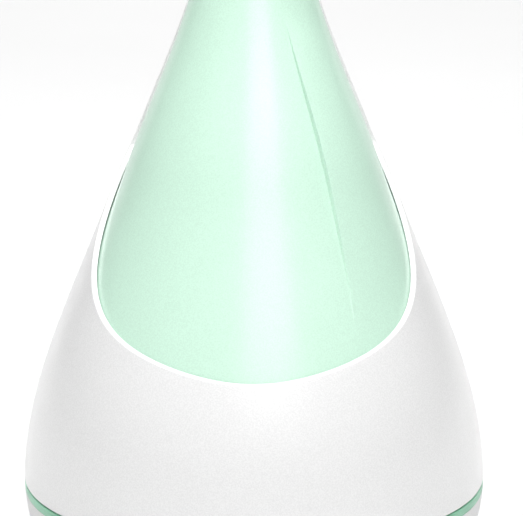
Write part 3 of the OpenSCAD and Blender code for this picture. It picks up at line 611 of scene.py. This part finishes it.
def make_bud():
    """Bud: two petals, one overlapping the other along the fold, closing to a slanted mouth."""
    inset, wall = sizes().shell_wall + sizes().bud_gap, sizes().bud_wall
    near = [0, 0.12, 0.3, 0.6, 1.1, 1.8, 2.8]  # degrees from the step, for its closest columns
    side = 0.40  # degrees that the step's side face takes
    fade = 62    # degrees over which the proud petal sinks back to the bud's round
    psi = [-side * t for t in (1, 0.8, 0.6, 0.4, 0.2)] + near
    psi = [-side - d for d in near[:0:-1]] + psi
    spare = 330  # even columns round the rest
    first, last = psi[-1], 360 + psi[0]
    psi += [first + (last - first) * i / spare for i in range(1, spare)]
    low = BUD_LOW.z
    bend = 250 * MM  # the rows are level up to here, then tilt into the mouth's slant
    slant = math.tan(sizes().mouth_tilt)
    mouth = TIP_Z - 5 * MM

    def overlap(angle):
        """Share of the step at an angle past the fold, in degrees."""
        if angle >= 180:
            angle -= 360
        if angle <= -side or angle >= fade:
            return 0.0
        if angle < 0:
            t = 1 + angle / side
            return t * t * (3 - 2 * t)
        return math.cos(math.radians(90 * angle / fade)) ** 2

    lip = 0.7 * MM
    arc = [math.radians(22.5 * i) for i in range(5)]
    rows = [("level", low, 0)]
    rows += [("level", low + (bend - low) * i / 110, 0) for i in range(1, 111)]
    rows += [("top", i / 12, 0) for i in range(1, 12)]
    rows += [("lip", lip * (1 - math.sin(a)), lip * (1 - math.cos(a))) for a in arc]
    rows += [("lip", lip * (1 - math.sin(a)), wall - lip * (1 - math.cos(a))) for a in arc[::-1]]
    rows += [("top", 1 - i / 6, wall) for i in range(1, 7)]
    rows += [("level", bend - (bend - low) * i / 40, wall) for i in range(1, 41)]

    def place(i, k):
        kind, value, depth = rows[i]
        angle = psi[k]
        z = value if kind == "level" else bend
        a = fold_azimuth(min(z, FOLD_HIGH)) + math.radians(angle)
        if kind != "level":
            end = mouth
            for _ in range(4):  # the mouth's height and the radius there depend on each other
                end = mouth - slant * (shell_r(end) - inset) * math.cos(a)
            z = end - value if kind == "lip" else bend + value * (end - lip - bend)
        r = shell_r(z) - inset - depth
        if depth == 0 and kind == "level":
            r += fold_height(z) * overlap(angle)
        return around(a, r, z)

    bm = spun(len(rows), len(psi), place)
    obj = keep(bm, "mint_bud", "cover", satin_paint("mint_satin_paint", finish().bud_mint, 0.32, 0.8), 50)
    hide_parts("bud_shell")
    return obj


# ---------------------------------------------------------------- the ring and the base


def make_ring():
    """Light ring: a thin mint band under the seam, with a skirt down to the lamps."""
    top, bottom = RING_HIGH.z, HOUSE_HIGH.z
    skirt = BODY_R - 12 * MM
    low = RING_LOW.z
    inner = house_r(bottom) - HOUSING_WALL
    corners = [
        (skirt, low, 0.1 * MM), (skirt + 2.4 * MM, low, 0.1 * MM), (skirt + 2.4 * MM, bottom, 0),
        (inner - 1.6 * MM, bottom, 0), (inner - 1.6 * MM, bottom - 2 * MM, 0.1 * MM),
        (inner - 0.3 * MM, bottom - 2 * MM, 0.1 * MM), (inner - 0.3 * MM, bottom + 0.05 * MM, 0),
        (house_r(bottom), bottom + 0.05 * MM, 0.25 * MM), (BODY_R, top, 0.35 * MM), (skirt, top, 0.1 * MM),
    ]
    bm = turned(rounded(corners, 0.1 * MM, 3), 288)
    obj = keep(bm, "mint_light_ring", "base", light_guide("mint_light_guide", finish().ring_mint))
    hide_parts("light_ring")
    return obj


def cut(obj, tool_mesh):
    """Takes a closed tool shape out of a piece for good."""
    tool = bpy.data.objects.new("tool", tool_mesh)
    bpy.context.scene.collection.objects.link(tool)
    mod = obj.modifiers.new("cut", "BOOLEAN")
    mod.operation, mod.solver, mod.object = "DIFFERENCE", "EXACT", tool
    with bpy.context.temp_override(object=obj, active_object=obj, selected_objects=[obj]):
        bpy.context.view_layer.objects.active = obj
        bpy.ops.object.modifier_apply(modifier=mod.name)
    bpy.data.objects.remove(tool)
    bpy.data.meshes.remove(tool_mesh)


def tool_from(bms):
    """One mesh out of several closed bmeshes that don't touch."""
    joined = bmesh.new()
    for bm in bms:
        bmesh.ops.remove_doubles(bm, verts=bm.verts, dist=WELD)
        bmesh.ops.recalc_face_normals(bm, faces=bm.faces)
        part = bpy.data.meshes.new("part")
        bm.to_mesh(part)
        joined.from_mesh(part)
        bpy.data.meshes.remove(part)
        bm.free()
    mesh = bpy.data.meshes.new("tool")
    joined.to_mesh(mesh)
    joined.free()
    return mesh


def housing_bowl():
    """The bowl's closed outline turned full circle, before anything is cut out of it."""
    top, low = HOUSE_HIGH.z, HOUSE_LOW.z
    floor = low + HOUSING_FLOOR
    heights = [low + (top - low) * (i / 60) ** 1.6 for i in range(61)]
    outside = [(house_r(z), z) for z in heights]
    heights = [floor + (top - floor) * (i / 24) ** 1.5 for i in range(25)]
    inside = [(house_r(max(low, z - 1.5 * MM)) - HOUSING_WALL, z) for z in heights]
    edge = 0.25 * MM
    rim = [(outside[-1][0], top - edge), (outside[-1][0] - edge * 0.3, top), (inside[-1][0], top)]
    return turned([(0, low)] + outside[:-1] + rim + inside[::-1] + [(0, floor)], 288)


def plug(radius, start, end, columns, centre, axis="Z"):
    """A round bar between two heights along an axis, used as a cutting tool."""
    return turned([(0, start), (radius, start), (radius, end), (0, end)], columns, centre, axis)


def vent_slot(x, half, y, low):
    """A slot with round ends through the floor, half as long as half on either side of y."""
    slot = bmesh.new()
    bmesh.ops.create_circle(slot, cap_ends=True, segments=24, radius=1.4 * MM)
    for v in slot.verts:
        v.co.y += half if v.co.y > 1e-9 else -half
        v.co += Vector((x, y, low - MM))
    up = bmesh.ops.extrude_face_region(slot, geom=slot.faces[:])
    ends = [g for g in up["geom"] if isinstance(g, bmesh.types.BMVert)]
    bmesh.ops.translate(slot, vec=(0, 0, 5 * MM), verts=ends)
    return slot


def make_housing():
    """Base housing: the bowl with its vents, foot pockets, screw wells, button holes and inlet."""
    low = HOUSE_LOW.z
    paint = satin_paint("white_housing_paint", shade(finish().shell_white, 0.97), 0.46)
    obj = keep(housing_bowl(), "base_bowl", "base", paint, 30)

    jack_low, jack_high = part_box("dc_jack")
    jack_z = (jack_low.z + jack_high.z) / 2
    face = jack_high.y - 1.4 * MM
    beyond = 90 * MM
    wells = [around(math.radians(a), SCREW_RING_R, 0) for a in (45, 135, 225, 315)]
    pockets = [around(math.radians(a), FOOT_RING_R, 0) for a in (0, 90, 180, 270)]
    tools = [plug(3.1 * MM, 0, low + HOUSING_FLOOR, 48, c) for c in wells]
    tools += [plug(FOOT_R + 0.2 * MM, 0, low + 0.5 * MM, 64, c) for c in pockets]
    tools.append(plug(6.4 * MM, face, beyond, 64, (0, 0, jack_z), "Y"))
    cut(obj, tool_from(tools))

    fan_low, fan_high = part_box("fan_frame")
    fan_y = (fan_low.y + fan_high.y) / 2
    tools = [plug(4.1 * MM, face - 9 * MM, face + MM, 48, (0, 0, jack_z), "Y")]
    pitch, reach = 5, 18  # of the vent slots and of the round field that they fill, in millimetres
    for n in range(-3, 4):
        half = math.sqrt(reach ** 2 - (pitch * n) ** 2) - 1.5
        tools.append(vent_slot(pitch * n * MM, half * MM, fan_y, low))
    for node in ("mist_button", "light_button"):
        key_low, key_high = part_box(node)
        centre = ((key_low.x + key_high.x) / 2, 0, (key_low.z + key_high.z) / 2)
        guide_r = (key_high.x - key_low.x) / 2 - KEY_FLANGE + 0.3 * MM
        tools.append(plug(guide_r, -beyond, -60 * MM, 64, centre, "Y"))
    cut(obj, tool_from(tools))
    smooth_cut(obj, 30)
    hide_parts("base_housing")
    return obj


def smooth_cut(obj, sharp):
    """Cleans a piece after its cuts and shades it again, with edges past an angle kept sharp."""
    bm = bmesh.new()
    bm.from_mesh(obj.data)
    bmesh.ops.remove_doubles(bm, verts=bm.verts, dist=WELD)
    bmesh.ops.dissolve_degenerate(bm, edges=bm.edges, dist=WELD)
    soften(bm, sharp)
    bm.to_mesh(obj.data)
    bm.free()


def make_feet():
    """Rubber feet: soft-edged pads in the housing's pockets."""
    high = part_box("rubber_feet")[1]
    soft = moulded("foot_rubber", (0.035, 0.035, 0.037), 0.7, 0.0004, 0.00004)
    for n, a in enumerate((0, 90, 180, 270)):
        c = around(math.radians(a), high.x - FOOT_R, 0)
        profile = rounded([(0, 0, 0), (FOOT_R - 0.4 * MM, 0, 0.7 * MM), (FOOT_R, 1.1 * MM, 0.3 * MM),
                           (FOOT_R, high.z, 0), (0, high.z, 0)], 0.2 * MM, 5)
        obj = keep(turned(profile, 64, c), f"rubber_foot_{n + 1}", "base", soft)
        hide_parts("rubber_feet")


def make_buttons():
    """Two press buttons, their faces following the base, each with a raised sign: a drop and a lamp."""
    paint = satin_paint("white_button_paint", finish().shell_white, 0.4)
    ink = moulded("grey_sign", (0.20, 0.22, 0.22), 0.5)
    keys = [("mist_button", "mist_key", drop_sign), ("light_button", "light_key", lamp_sign)]
    for node, body, sign in keys:
        low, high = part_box(node)
        cx, cz = (low.x + high.x) / 2, (low.z + high.z) / 2
        r = (high.x - low.x) / 2 - KEY_FLANGE
        soft = sizes().button_round

        def skin(x, z):
            return -math.sqrt(house_r(z) ** 2 - x * x)

        rings = [(r * t, 0) for t in (0, 0.2, 0.4, 0.6, 0.8)] + [
            (r - soft + soft * math.sin(b), soft * (1 - math.cos(b)))
            for b in [math.radians(15 * i) for i in range(7)]]

        def place(i, k, rings=rings, cx=cx, cz=cz):
            a = 2 * math.pi * k / 72
            if i < len(rings):
                rho, sink = rings[i]
                x, z = cx + rho * math.cos(a), cz + rho * math.sin(a)
                return Vector((x, skin(x, z) - KEY_SINK + sink, z))
            rho = (r, 0)[i - len(rings)]
            return Vector((cx + rho * math.cos(a), high.y - 8 * MM, cz + rho * math.sin(a)))

        bm = spun(len(rings) + 2, 72, place)
        obj = keep(bm, node + "_cap", body, paint, 40)
        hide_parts(node)
        mark = sign(cx, cz)
        for v in mark.verts:
            lift = v.co.y
            v.co.y = skin(v.co.x, v.co.z) - KEY_SINK - lift
        keep(mark, node + "_sign", body, ink, 40)


def raised(bm, height):
    """Thickens a flat sign, drawn in X and Z, by a height towards the front (kept in Y)."""
    bmesh.ops.subdivide_edges(bm, edges=bm.edges, cuts=1, use_grid_fill=True)
    up = bmesh.ops.extrude_face_region(bm, geom=bm.faces[:])
    for g in up["geom"]:
        if isinstance(g, bmesh.types.BMVert):
            g.co.y += height
    return bm


def drop_sign(cx, cz):
    """Water drop: a ring whose top is drawn out to a point."""
    bm = bmesh.new()
    inner = bmesh.ops.create_circle(bm, segments=48, radius=1.0 * MM)["verts"]
    outer = bmesh.ops.create_circle(bm, segments=48, radius=1.3 * MM)["verts"]
    edges = list({e for v in inner + outer for e in v.link_edges})
    bmesh.ops.bridge_loops(bm, edges=edges)
    for v in bm.verts:
        a = math.atan2(v.co.y, v.co.x)
        pull = max(0.0, math.sin(a)) ** 6
        x, z = v.co.x * (1 - 0.45 * pull), v.co.y * (1 + 0.75 * pull)
        v.co = Vector((cx + x, -0.03 * MM, cz + z - 0.3 * MM))
    return raised(bm, 0.12 * MM)


def lamp_sign(cx, cz):
    """Lamp: a ring with eight short rays."""
    bm = bmesh.new()
    inner = bmesh.ops.create_circle(bm, segments=40, radius=0.62 * MM)["verts"]
    outer = bmesh.ops.create_circle(bm, segments=40, radius=0.9 * MM)["verts"]
    edges = list({e for v in inner + outer for e in v.link_edges})
    bmesh.ops.bridge_loops(bm, edges=edges)
    for n in range(8):
        turn = Matrix.Rotation(math.radians(45 * n), 4, "Z") @ Matrix.Translation((1.6 * MM, 0, 0))
        bmesh.ops.create_grid(bm, x_segments=3, y_segments=1, size=0.5, matrix=turn @ Matrix.Diagonal(
            (0.7 * MM, 0.28 * MM, 1, 1)))
    for v in bm.verts:
        v.co = Vector((cx + v.co.x, -0.03 * MM, cz + v.co.y))
    return raised(bm, 0.12 * MM)


# ---------------------------------------------------------------- what is inside


def make_inside():
    """Tank, lid, fan, boards and leads: smooth copies of the CAD nodes, each with its own finish."""
    tank = moulded("tank_plastic", (0.62, 0.64, 0.65), 0.22, 0.0015, 0.00001)
    lid = moulded("lid_plastic", (0.68, 0.69, 0.70), 0.3, 0.001, 0.000015)
    black = moulded("black_plastic", (0.018, 0.018, 0.02), 0.5, 0.0004, 0.00003)
    screw = metal("screw_steel", (0.62, 0.62, 0.64), 0.28)
    plate = metal("plated_steel", (0.58, 0.59, 0.61), 0.34, (14, 1, 1))
    green = printed_board("green_board", (0.012, 0.10, 0.045))
    finishes = {
        "tank_bowl": tank, "air_tube": tank, "deck_ring": lid, "splash_lid": lid,
        "level_float": moulded("float_foam", (0.78, 0.70, 0.52), 0.75, 0.0009, 0.00012),
        "float_magnet": moulded("ferrite", (0.03, 0.03, 0.032), 0.6),
        "float_cap": moulded("white_cap", (0.72, 0.72, 0.71), 0.4),
        "reed_switch": moulded("reed_glass", (0.55, 0.72, 0.62), 0.12, clear=0.6),
        "housing_screws": screw, "clamp_screws": screw, "fan_screws": screw, "board_screws": screw,
        "button_screws": screw, "jack_nut": screw,
        "mist_disc": metal("disc_steel", (0.66, 0.66, 0.67), 0.22, (1, 1, 1)),
        "disc_seal": moulded("seal_silicone", (0.66, 0.66, 0.64), 0.6),
        "disc_clamp": plate,
        "fan_frame": black, "fan_rotor": moulded("rotor_plastic", (0.022, 0.022, 0.025), 0.38),
        "fan_magnet": moulded("magnet_rubber", (0.05, 0.045, 0.04), 0.7),
        "fan_shaft": metal("shaft_steel", (0.66, 0.67, 0.69), 0.16, (1, 1, 20)),
        "fan_bearing": metal("sintered_bronze", (0.45, 0.28, 0.12), 0.5, (1, 1, 1), 0.00003),
        "fan_stator": wound("stator_winding", (0.62, 0.24, 0.09)),
        "air_duct": moulded("duct_plastic", (0.46, 0.48, 0.49), 0.5),
        "duct_gasket": moulded("gasket_foam", (0.03, 0.03, 0.03), 0.85, 0.0005, 0.00015),
        "main_board": green, "button_board": green,
        "wifi_module": metal("shield_can", (0.64, 0.64, 0.62), 0.3, (8, 1, 1)),
        "driver_coil": wound("coil_winding", (0.55, 0.20, 0.07), 0.0008),
        "capacitors": moulded("capacitor_sleeve", (0.02, 0.03, 0.07), 0.25),
        "board_chips": moulded("chip_epoxy", (0.015, 0.015, 0.016), 0.55, 0.0002),
        "board_sockets": moulded("socket_nylon", (0.70, 0.66, 0.55), 0.4),
        "led_board": printed_board("white_board", (0.62, 0.63, 0.62)),
        "ring_leds": moulded("lamp_phosphor", (0.85, 0.70, 0.18), 0.3),
        "dc_jack": black,
        "jack_pin": metal("gold_plating", (0.80, 0.55, 0.20), 0.2, (1, 20, 1)),
        "tact_switches": black,
        "mist_plunger": moulded("grey_plunger", (0.16, 0.16, 0.17), 0.45),
        "light_plunger": moulded("grey_plunger_2", (0.16, 0.16, 0.17), 0.45),
        "power_leads": moulded("red_lead", (0.36, 0.02, 0.015), 0.4),
        "fan_leads": moulded("black_lead", (0.02, 0.02, 0.02), 0.4),
        "disc_leads": moulded("grey_lead", (0.20, 0.20, 0.21), 0.4),
        "button_leads": moulded("grey_lead_2", (0.24, 0.24, 0.25), 0.4),
        "led_leads": moulded("ivory_lead", (0.62, 0.58, 0.46), 0.4),
        "float_leads": moulded("dark_lead", (0.03, 0.03, 0.04), 0.4),
    }
    for node, material in finishes.items():
        welded(node, material)


# ---------------------------------------------------------------- floor, light and camera


def make_stage():
    """White floor, soft studio lights and the camera."""
    bm = bmesh.new()
    bmesh.ops.create_grid(bm, x_segments=1, y_segments=1, size=6.0)
    mesh = bpy.data.meshes.new("studio_floor")
    bm.to_mesh(mesh)
    bm.free()
    floor = bpy.data.objects.new("studio_floor", mesh)
    bpy.context.scene.collection.objects.link(floor)
    mat, nodes, links, shader, where = new_material("white_floor")
    links.new(tinted(nodes, links, noise(nodes, links, where, 3), 0.3, 0.7, (0.64,) * 3, (0.66,) * 3),
              shader.inputs["Base Color"])
    shader.inputs["Roughness"].default_value = 0.9
    shader.inputs["Specular IOR Level"].default_value = 0.0
    mesh.materials.append(mat)

    world = bpy.context.scene.world or bpy.data.worlds.new("studio")
    bpy.context.scene.world = world
    world.use_nodes = True
    sky = world.node_tree.nodes["Background"]
    sky.inputs["Color"].default_value = (1, 1, 1, 1)
    sky.inputs["Strength"].default_value = 0.08

    def softbox(name, place, aim, width, height, power):
        data = bpy.data.lights.new(name, "AREA")
        data.shape, data.size, data.size_y, data.energy = "RECTANGLE", width, height, power
        lamp = bpy.data.objects.new(name, data)
        lamp.location = place
        lamp.rotation_euler = (Vector(aim) - Vector(place)).to_track_quat("-Z", "Y").to_euler()
        bpy.context.scene.collection.objects.link(lamp)

    softbox("key_softbox", (0.58, -0.72, 1.38), (0, 0, 0.12), 1.3, 0.75, 17)
    softbox("front_softbox", (0.213, -1.21, 0.98), (0, 0, 0.12), 0.8, 0.8, 4.0)
    softbox("left_softbox", (-0.575, -0.482, 1.419), (0, 0, 0.12), 0.7, 0.7, 14)
    softbox("overhead_softbox", (0, 0, 2.0), (0, 0, 0), 0.8, 0.8, 17)
    softbox("backdrop_softbox", (0, 3.4, 1.1), (0, 0, 0.3), 6.0, 2.2, 28)
    softbox("background_softbox", (0, 1.9, 1.9), (0, 1.3, 0), 3.0, 1.4, 46)

    data = bpy.data.cameras.new("camera")
    data.lens, data.sensor_width = 224.3, 36.0
    data.clip_start, data.clip_end = 0.05, 30
    camera = bpy.data.objects.new("camera", data)
    camera.location = (0.00272, -1.1389, 0.423)
    camera.rotation_euler = (math.radians(90 - 14.59), 0, 0)
    bpy.context.scene.collection.objects.link(camera)
    bpy.context.scene.camera = camera
    bpy.context.scene.view_settings.view_transform = "Standard"
    bpy.context.scene.view_settings.look = "None"


# ---------------------------------------------------------------- operators, panel, registration


class HUM_OT_white_shell(bpy.types.Operator):
    """Builds the outer shell with its window"""

    bl_idname = "humidifier.white_shell"
    bl_label = "White shell"
    bl_options = {"REGISTER", "UNDO"}

    def execute(self, context):
        make_shell()
        return {"FINISHED"}


class HUM_OT_mint_bud(bpy.types.Operator):
    """Builds the bud with its overlapping petal"""

    bl_idname = "humidifier.mint_bud"
    bl_label = "Mint bud"
    bl_options = {"REGISTER", "UNDO"}

    def execute(self, context):
        make_bud()
        return {"FINISHED"}


class HUM_OT_light_ring(bpy.types.Operator):
    """Builds the band under the seam"""

    bl_idname = "humidifier.light_ring"
    bl_label = "Light ring"
    bl_options = {"REGISTER", "UNDO"}

    def execute(self, context):
        make_ring()
        return {"FINISHED"}


class HUM_OT_base_bowl(bpy.types.Operator):
    """Builds the base with its vents and wells"""

    bl_idname = "humidifier.base_bowl"
    bl_label = "Base housing"
    bl_options = {"REGISTER", "UNDO"}

    def execute(self, context):
        make_housing()
        return {"FINISHED"}


class HUM_OT_rubber_feet(bpy.types.Operator):
    """Builds the four feet"""

    bl_idname = "humidifier.rubber_feet"
    bl_label = "Rubber feet"
    bl_options = {"REGISTER", "UNDO"}

    def execute(self, context):
        make_feet()
        return {"FINISHED"}


class HUM_OT_buttons(bpy.types.Operator):
    """Builds the two press buttons and their signs"""

    bl_idname = "humidifier.buttons"
    bl_label = "Buttons"
    bl_options = {"REGISTER", "UNDO"}

    def execute(self, context):
        make_buttons()
        return {"FINISHED"}


class HUM_OT_inside(bpy.types.Operator):
    """Finishes the tank, fan, boards and leads"""

    bl_idname = "humidifier.inside"
    bl_label = "Inner parts"
    bl_options = {"REGISTER", "UNDO"}

    def execute(self, context):
        make_inside()
        return {"FINISHED"}


class HUM_OT_studio(bpy.types.Operator):
    """Sets the floor, lights and camera"""

    bl_idname = "humidifier.studio"
    bl_label = "Studio"
    bl_options = {"REGISTER", "UNDO"}

    def execute(self, context):
        make_stage()
        return {"FINISHED"}


STEPS = [
    HUM_OT_white_shell,
    HUM_OT_mint_bud,
    HUM_OT_light_ring,
    HUM_OT_base_bowl,
    HUM_OT_rubber_feet,
    HUM_OT_buttons,
    HUM_OT_inside,
    HUM_OT_studio,
]


class HUM_PT_panel(bpy.types.Panel):
    """Sidebar panel: the sizes, the finishes and one button for each step"""

    bl_idname = "HUM_PT_panel"
    bl_label = "Bud Humidifier"
    bl_space_type = "VIEW_3D"
    bl_region_type = "UI"
    bl_category = "Humidifier"

    def draw(self, context):
        for group in (context.scene.humidifier_sizes, context.scene.humidifier_finish):
            for key in group.__annotations__:
                self.layout.prop(group, key)
        for step in STEPS:
            self.layout.operator(step.bl_idname)


CLASSES = [HUM_Sizes, HUM_Finish, *STEPS, HUM_PT_panel]


def register():
    for c in CLASSES:
        bpy.utils.register_class(c)
    bpy.types.Scene.humidifier_sizes = bpy.props.PointerProperty(type=HUM_Sizes)
    bpy.types.Scene.humidifier_finish = bpy.props.PointerProperty(type=HUM_Finish)


def unregister():
    del bpy.types.Scene.humidifier_finish
    del bpy.types.Scene.humidifier_sizes
    for c in reversed(CLASSES):
        bpy.utils.unregister_class(c)


def main():
    register()
    bpy.ops.humidifier.white_shell()
    bpy.ops.humidifier.mint_bud()
    bpy.ops.humidifier.light_ring()
    bpy.ops.humidifier.base_bowl()
    bpy.ops.humidifier.rubber_feet()
    bpy.ops.humidifier.buttons()
    bpy.ops.humidifier.inside()
    bpy.ops.humidifier.studio()


if __name__ == "__main__":
    main()
